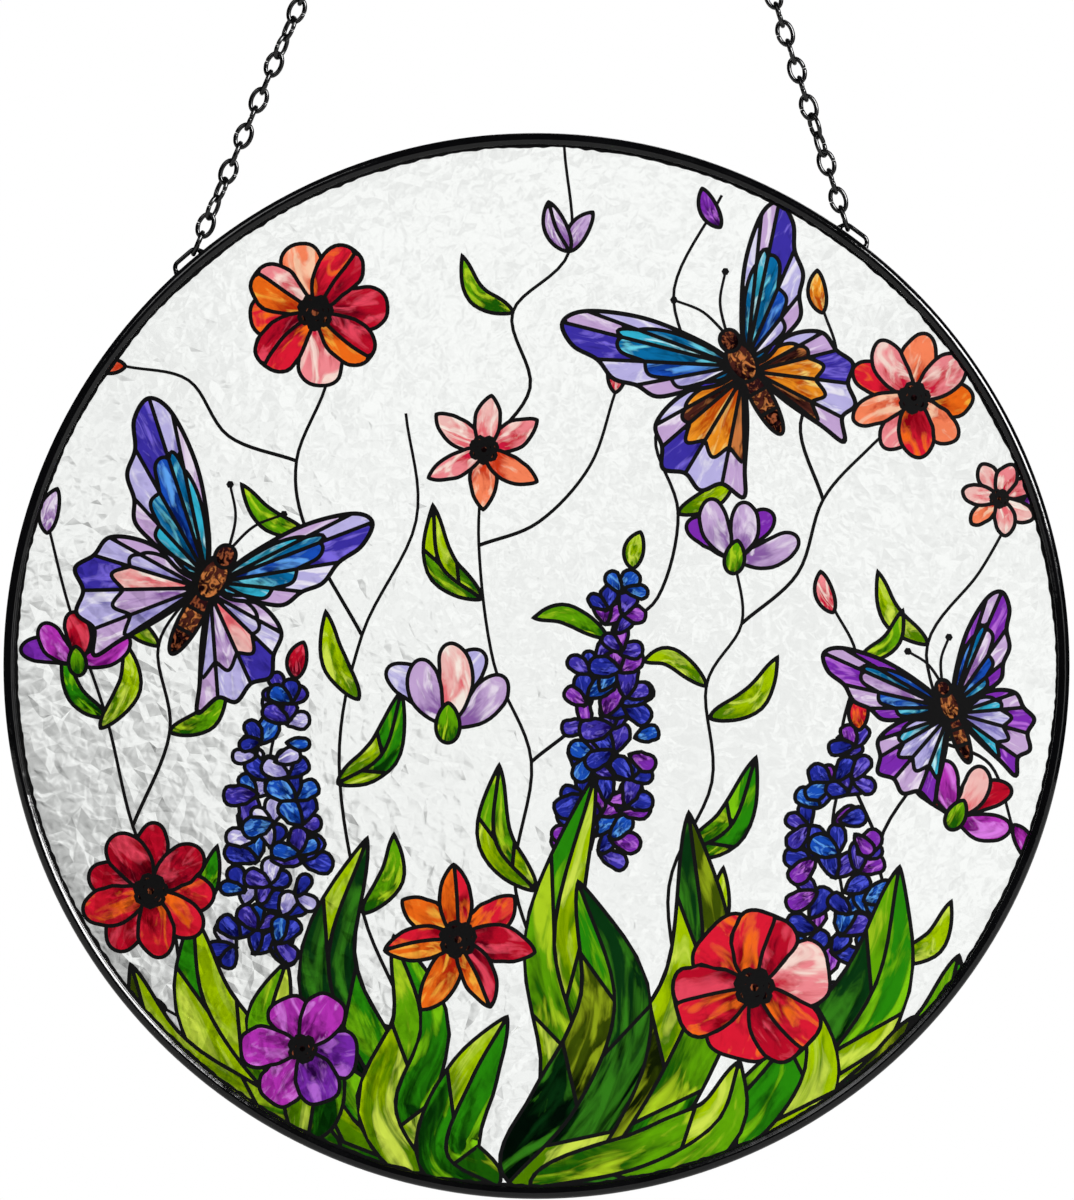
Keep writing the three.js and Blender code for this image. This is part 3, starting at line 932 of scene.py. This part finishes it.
def build_frame(settings):
    """The channel ring, with its round corners, softly domed faces and rolled lip edges."""
    half = RING_DEPTH / 2
    wall = settings.channel_wall
    corner = settings.channel_corner
    lip = RING_RADIUS - settings.lip_width
    edge = wall / 2
    crown = settings.lip_crown
    # The section's front half, from the rim over the domed lip and its rolled edge down to the groove.
    profile = arc_points((RING_RADIUS - corner, half - corner), corner, 0, 90, ROUND_STEPS)
    profile += [(lip + edge + (RING_RADIUS - corner - lip - edge) * share, half - crown * (1 - share) ** 2)
                for share in (0.8, 0.6, 0.4, 0.2)]
    profile += arc_points((lip + edge, half - crown - edge), edge, 90, 270, ROUND_STEPS)
    profile += [(RING_RADIUS - wall - edge, half - crown - wall)]
    groove = (RING_RADIUS - wall - edge, half - crown - wall - edge)
    profile += arc_points(groove, edge, 90, 0, GROOVE_CORNER_STEPS)
    profile += [(x, -y) for x, y in reversed(profile)]
    vertices, faces = [], []
    for step in range(RING_STEPS):
        turn = 2 * math.pi * step / RING_STEPS
        for x, y in profile:
            vertices.append(Vector((x * math.cos(turn), y, RING_CENTRE.z + x * math.sin(turn))))
    count = len(profile)
    for step in range(RING_STEPS):
        here, there = step * count, (step + 1) % RING_STEPS * count
        for k in range(count):
            beside = (k + 1) % count
            faces.append((here + k, here + beside, there + beside, there + k))
    ring = mesh_object("channel_ring", vertices, faces, [enamel_material(settings.enamel_colour)])
    finish_piece(ring, "frame_enamel", "frame")


# The eyelets

BEND_STEPS = 12
EYELET_SIDES = 16
# Each foot is sunk into the rim, rises straight for a little, and is flared by the braze up to its height.
FOOT_SUNK = 0.15 * MM
FOOT_RISE = 0.05 * MM
BRAZE_HEIGHT = 0.6 * MM
BRAZE_FLARE = 0.55


def build_eyelet(name, node, settings):
    """One brazed wire loop: a flat-topped staple whose feet flare into the braze on the rim."""
    low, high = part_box(node)
    middle = (Vector(low) + Vector(high)) / 2 - RING_CENTRE
    outward = Vector((middle.x, 0, middle.z)).normalized()
    along = Vector((outward.z, 0, -outward.x))
    wire = settings.eyelet_wire / 2
    rise = settings.eyelet_height - wire
    flat = settings.eyelet_length / 2 - wire - rise
    turns = [math.pi / 2 * k / BEND_STEPS for k in range(1, BEND_STEPS)]
    # One half, from its sunk foot round the bend and along the flat top. The other half mirrors it.
    path = [(-flat - rise, -FOOT_SUNK), (-flat - rise, FOOT_RISE)]
    path += [(-flat - rise * math.cos(turn), rise * math.sin(turn)) for turn in turns]
    path += [(-flat * share, rise) for share in (1, 0.6, 0.2)]
    path += [(-u, v) for u, v in reversed(path)]
    foot = RING_CENTRE + outward * RING_RADIUS
    spots = [foot + along * u + outward * v for u, v in path]
    radii = [wire * (1 + BRAZE_FLARE * max(0.0, 1 - max(v, 0) / BRAZE_HEIGHT) ** 2) for _, v in path]
    vertices, faces = sweep(spots, radii, EYELET_SIDES, Vector((0, 1, 0)))
    eyelet = mesh_object(name, vertices, faces, [enamel_material(settings.enamel_colour)])
    finish_piece(eyelet, "frame_enamel", node)


# The chain

LINK_STEPS = 30
LINK_SIDES = 10
# Half of a link's seam, as an angle in radians, and how far the wire narrows at its butted ends.
SEAM_HALF = 0.02
SEAM_NARROWING = 0.9
# A strand's twist in degrees from link to link. In each run, the first three of nine links turn less.
FULL_TWIST, EASY_TWIST = 90, 60
RUN_LINKS, EASY_LINKS = 9, 3


def strand_line(node, side, wire):
    """Where a strand's end wires are centred. The strand runs from corner to corner of its node's box."""
    low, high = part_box(node)
    inset = wire / 2 * math.cos(math.atan2(high[0] - low[0], high[2] - low[2]))
    foot, head = (low[0] + inset, high[0] - inset) if side < 0 else (high[0] - inset, low[0] + inset)
    return Vector((foot, 0, low[2] + inset)), Vector((head, 0, high[2] - inset))


def link_part(place, settings):
    """One oval link of round wire, its ends butted together halfway along one side, moved by place."""
    half_length = (settings.link_length - settings.link_wire) / 2
    half_width = (settings.link_width - settings.link_wire) / 2
    path = []
    for step in range(LINK_STEPS + 1):
        turn = math.pi / 2 + SEAM_HALF + (2 * math.pi - 2 * SEAM_HALF) * step / LINK_STEPS
        path.append(Vector((half_length * math.cos(turn), half_width * math.sin(turn), 0)))
    radius = settings.link_wire / 2
    butted = radius * SEAM_NARROWING
    radii = [butted] + [radius] * (LINK_STEPS - 1) + [butted]
    vertices, faces = sweep(path, radii, LINK_SIDES, Vector((0, 0, 1)))
    return [place @ vertex for vertex in vertices], faces


def strand_parts(node, side, run_start, runs, settings):
    """A strand's links. Most turn a quarter past their neighbour, and runs of three share half a turn."""
    start, end = strand_line(node, side, settings.link_wire)
    direction = (end - start).normalized()
    across = Vector((direction.z, 0, -direction.x))
    back = Vector((0, 1, 0))
    half_length = (settings.link_length - settings.link_wire) / 2
    nominal = settings.link_length - 2 * settings.link_wire
    count = round(((end - start).length - 2 * half_length) / nominal) + 1
    pitch = ((end - start).length - 2 * half_length) / (count - 1)
    parts = []
    twist = FULL_TWIST
    for index in range(count):
        since = index - run_start - 1
        easy = 0 <= since < runs * RUN_LINKS and since % RUN_LINKS < EASY_LINKS
        if index:
            twist += EASY_TWIST if easy else FULL_TWIST
        width = across * math.cos(math.radians(twist)) + back * math.sin(math.radians(twist))
        thickness = direction.cross(width)
        spot = start + direction * (half_length + index * pitch)
        place = Matrix.Translation(spot) @ Matrix((direction, width, thickness)).transposed().to_4x4()
        parts.append(link_part(place, settings))
    return parts


def build_chain(settings):
    """Both strands and the top link."""
    lacquer = lacquer_material(settings.lacquer_colour)
    for name, node, side, run_start, runs in (("left_strand", "chain_left", -1, 1, 4),
                                              ("right_strand", "chain_right", 1, 3, 3)):
        vertices, faces = join_parts(strand_parts(node, side, run_start, runs, settings))
        strand = mesh_object(name, vertices, faces, [lacquer])
        finish_piece(strand, "chain_steel", node)
    low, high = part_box("top_link")
    place = Matrix.Translation((Vector(low) + Vector(high)) / 2) @ Matrix.Rotation(-math.pi / 2, 4, "X")
    vertices, faces = link_part(place, settings)
    top = mesh_object("hanging_link", vertices, faces, [lacquer])
    finish_piece(top, "chain_steel", "top_link")


# The stage

def build_camera(settings):
    """The photograph's straight view: level, square to the panel, and rolled by a degree and a half."""
    photo_width, photo_height = 1074, 1200
    ring_left, ring_right = 3.0, 1070.0
    ring_centre_y = 666.0
    pixel = 2 * RING_RADIUS / (ring_right - ring_left)
    roll = settings.camera_roll
    right = Vector((math.cos(roll), 0, math.sin(roll)))
    up = Vector((-math.sin(roll), 0, math.cos(roll)))
    offset_right = photo_width / 2 - (ring_left + ring_right) / 2
    offset_up = ring_centre_y - photo_height / 2
    target = RING_CENTRE + (right * offset_right + up * offset_up) * pixel
    target.y = RING_LOW[1]
    camera = bpy.data.objects.new("camera", bpy.data.cameras.new("camera"))
    camera.data.sensor_fit = "HORIZONTAL"
    camera.data.sensor_width = 36.0
    camera.data.lens = camera.data.sensor_width * settings.camera_distance / (photo_width * pixel)
    camera.data.clip_end = 20.0
    back = Vector((0, -1, 0))
    turned = Matrix((right, up, back)).transposed().to_4x4()
    camera.matrix_world = Matrix.Translation(target + back * settings.camera_distance) @ turned
    bpy.context.scene.collection.objects.link(camera)
    bpy.context.scene.camera = camera


def build_world():
    """A white room, dimmer to reflections, with a soft grey corner that the ripples pick up."""
    world = bpy.data.worlds.new("studio")
    bpy.context.scene.world = world
    world.use_nodes = True
    tree = world.node_tree
    tree.nodes.clear()
    output = add_node(tree, "ShaderNodeOutputWorld")
    heading = add_node(tree, "ShaderNodeTexCoord").outputs["Generated"]
    corner = Vector((-0.095, 1.0, -0.075)).normalized()
    apart = add_node(tree, "ShaderNodeVectorMath", {1: corner}, {0: heading}, operation="DISTANCE")
    dim = add_node(tree, "ShaderNodeMapRange",
                   {"From Min": 0.025, "From Max": 0.092, "To Min": 0.26, "To Max": 1.08},
                   {"Value": apart.outputs["Value"]})
    room = add_node(tree, "ShaderNodeTexNoise", {"Scale": 30.0, "Detail": 1.0}, {"Vector": heading})
    cast = add_node(tree, "ShaderNodeMapRange",
                    {"From Min": 0.35, "From Max": 0.62, "To Min": 0.8, "To Max": 0.94},
                    {"Value": room.outputs["Fac"]})
    seen = add_node(tree, "ShaderNodeMath", {}, {0: dim.outputs["Result"], 1: cast.outputs["Result"]},
                    operation="MULTIPLY")
    path = add_node(tree, "ShaderNodeLightPath")
    around = add_node(tree, "ShaderNodeMix", {"A": 0.7, "B": 0.02}, {"Factor": path.outputs["Is Glossy Ray"]})
    through = add_node(tree, "ShaderNodeMix", {}, {"Factor": path.outputs["Is Transmission Ray"],
                                                   "A": around.outputs["Result"], "B": seen.outputs["Value"]})
    level = add_node(tree, "ShaderNodeMix", {"B": 1.0}, {"Factor": path.outputs["Is Camera Ray"],
                                                        "A": through.outputs["Result"]})
    light = add_node(tree, "ShaderNodeBackground", {"Color": (1, 1, 1, 1)},
                     {"Strength": level.outputs["Result"]})
    tree.links.new(light.outputs["Background"], output.inputs["Surface"])


def add_softbox(name, offset, size, power, gloss_only):
    """A large soft light, that far from the ring's middle and facing it. Gloss only: just a highlight."""
    lamp = bpy.data.lights.new(name, "AREA")
    lamp.shape = "RECTANGLE"
    lamp.size, lamp.size_y = size
    lamp.energy = power
    box = bpy.data.objects.new(name, lamp)
    box.location = RING_CENTRE + Vector(offset)
    box.rotation_euler = (-Vector(offset)).to_track_quat("-Z", "Y").to_euler()
    if gloss_only:
        box.visible_diffuse = False
        box.visible_transmission = False
    bpy.context.scene.collection.objects.link(box)


def build_floor(settings):
    """A pale board well below the panel."""
    half = settings.floor_size / 2
    level = RING_LOW[2] - settings.floor_drop
    corners = [(-half, -half, level), (half, -half, level), (half, half, level), (-half, half, level)]
    board = floor_material(settings.floor_colour)
    floor = mesh_object("floor", corners, [(0, 1, 2, 3)], [board], smooth=False)


def build_stage(settings):
    """Camera, room, lights and floor."""
    build_camera(settings)
    build_world()
    for name, offset, size, power, gloss_only in (
            ("key_softbox", (-0.7, -1.1, 0.9), (0.5, 0.5), 4.0, False),
            ("fill_softbox", (0.9, -1.0, 0.2), (0.4, 0.8), 2.0, False),
            ("back_softbox", (0.3, 1.2, 0.9), (0.8, 0.5), 4.0, False),
            ("edge_softbox", (0.64, -0.64, 0.42), (0.42, 0.42), 26.0, True)):
        add_softbox(name, offset, size, power, gloss_only)
    build_floor(settings)
    bpy.context.scene.view_settings.view_transform = "Standard"


# Settings

def length(name, description, millimetres):
    """A size that a user can set. Its default is given in millimetres."""
    return FloatProperty(name=name, description=description, default=millimetres * MM, subtype="DISTANCE")


def angle(name, description, degrees):
    """An angle that a user can set. Its default is given in degrees."""
    return FloatProperty(name=name, description=description, default=math.radians(degrees), subtype="ANGLE")


def paint(name, description, colour):
    """A colour that a user can set. Its default is given as sRGB hex."""
    return FloatVectorProperty(name=name, description=description, default=linear(colour), size=3,
                               min=0, max=1, subtype="COLOR")


class PanelSettings(bpy.types.PropertyGroup):
    """Sizes of the acrylic panel's relief."""
    ripple_depth: length("Ripple depth", "How deep the crumpled back is", 0.16)
    facet_size: length("Facet size", "Typical width of one facet", 1.9)


class PrintSettings(bpy.types.PropertyGroup):
    """Sizes and colour of the print."""
    print_line: length("Line width", "Width of the black lines", 0.74)
    print_turn: angle("Print turn", "How far the design is turned on the panel", -1.53)
    border_width: length("Border width", "From the panel's edge to the border's", 1.6)
    border_wander: length("Border wander", "How uneven the border's edge is", 0.3)
    hidden_margin: length("Hidden margin", "From the panel's edge to the print's", 0.6)
    ink_lift: length("Ink thickness", "From the panel's front to the ink's", 0.03)
    line_colour: paint("Line colour", "Colour of the black ink", "020203")


class MetalSettings(bpy.types.PropertyGroup):
    """Sizes and colours of the ring, the eyelets and the chain."""
    channel_wall: length("Channel wall", "Thickness of the channel's sheet", 0.8)
    channel_corner: length("Channel corner", "Radius of the channel's outer corners", 1.2)
    lip_width: length("Lip width", "From the ring's outside to the lips' edges", 2.2)
    lip_crown: length("Lip crown", "How far the lips fall towards their edges", 0.25)
    eyelet_wire: length("Eyelet wire", "Wire of the two eyelets", 0.84)
    eyelet_length: length("Eyelet length", "Eyelet's length along the rim", 6.8)
    eyelet_height: length("Eyelet height", "Eyelet's height over the rim", 1.8)
    link_length: length("Link length", "Outside length of one link", 5.35)
    link_width: length("Link width", "Outside width of one link", 3.6)
    link_wire: length("Link wire", "Wire of the chain's links", 0.86)
    enamel_colour: paint("Enamel", "Colour of the ring and the eyelets", "040405")
    lacquer_colour: paint("Lacquer", "Colour of the chain", "040405")


class StageSettings(bpy.types.PropertyGroup):
    """Camera and floor."""
    camera_distance: length("Camera distance", "From the camera to the ring's front", 1600)
    camera_roll: angle("Camera roll", "How far the photograph is turned", 1.53)
    floor_drop: length("Floor drop", "From the ring's lowest point to the floor", 80)
    floor_size: length("Floor size", "Side of the square floor", 1800)
    floor_colour: paint("Floor colour", "Colour of the floor board", "f2f2f0")


class SuncatcherSettings(bpy.types.PropertyGroup):
    """Everything that a user would change."""
    panel: PointerProperty(type=PanelSettings)
    artwork: PointerProperty(type=PrintSettings)
    metal: PointerProperty(type=MetalSettings)
    stage: PointerProperty(type=StageSettings)


# Operators

class SUNCATCHER_OT_stage(bpy.types.Operator):
    """Add the camera, the room, the lights and the floor"""
    bl_idname = "suncatcher.build_stage"
    bl_label = "Stage"

    def execute(self, context):
        build_stage(context.scene.suncatcher.stage)
        return {"FINISHED"}


class SUNCATCHER_OT_panel(bpy.types.Operator):
    """Add the clear rippled panel"""
    bl_idname = "suncatcher.build_panel"
    bl_label = "Acrylic panel"

    def execute(self, context):
        build_panel(context.scene.suncatcher.panel)
        return {"FINISHED"}


class SUNCATCHER_OT_print(bpy.types.Operator):
    """Add the printed design"""
    bl_idname = "suncatcher.build_print"
    bl_label = "Print"

    def execute(self, context):
        build_print(context.scene.suncatcher.artwork)
        return {"FINISHED"}


class SUNCATCHER_OT_frame(bpy.types.Operator):
    """Add the enamelled channel ring"""
    bl_idname = "suncatcher.build_frame"
    bl_label = "Frame"

    def execute(self, context):
        build_frame(context.scene.suncatcher.metal)
        return {"FINISHED"}


class SUNCATCHER_OT_eyelets(bpy.types.Operator):
    """Add the two wire loops on the rim"""
    bl_idname = "suncatcher.build_eyelets"
    bl_label = "Eyelets"

    def execute(self, context):
        for name, node in (("left_loop", "eyelet_left"), ("right_loop", "eyelet_right")):
            build_eyelet(name, node, context.scene.suncatcher.metal)
        return {"FINISHED"}


class SUNCATCHER_OT_chain(bpy.types.Operator):
    """Add the chain's two strands and its top link"""
    bl_idname = "suncatcher.build_chain"
    bl_label = "Chain"

    def execute(self, context):
        build_chain(context.scene.suncatcher.metal)
        return {"FINISHED"}


class SUNCATCHER_PT_sidebar(bpy.types.Panel):
    """The build steps, in order"""
    bl_label = "Suncatcher"
    bl_idname = "SUNCATCHER_PT_sidebar"
    bl_space_type = "VIEW_3D"
    bl_region_type = "UI"
    bl_category = "Suncatcher"

    def draw(self, context):
        for operator in OPERATORS:
            self.layout.operator(operator.bl_idname)


OPERATORS = (SUNCATCHER_OT_stage, SUNCATCHER_OT_panel, SUNCATCHER_OT_print, SUNCATCHER_OT_frame,
             SUNCATCHER_OT_eyelets, SUNCATCHER_OT_chain)
CLASSES = (PanelSettings, PrintSettings, MetalSettings, StageSettings, SuncatcherSettings, *OPERATORS,
           SUNCATCHER_PT_sidebar)


def register():
    for made in CLASSES:
        bpy.utils.register_class(made)
    bpy.types.Scene.suncatcher = PointerProperty(type=SuncatcherSettings)


def unregister():
    del bpy.types.Scene.suncatcher
    for made in reversed(CLASSES):
        bpy.utils.unregister_class(made)


def main():
    register()
    bpy.ops.suncatcher.build_stage()
    bpy.ops.suncatcher.build_panel()
    bpy.ops.suncatcher.build_print()
    bpy.ops.suncatcher.build_frame()
    bpy.ops.suncatcher.build_eyelets()
    bpy.ops.suncatcher.build_chain()
    bpy.context.view_layer.update()


if __name__ == "__main__":
    main()
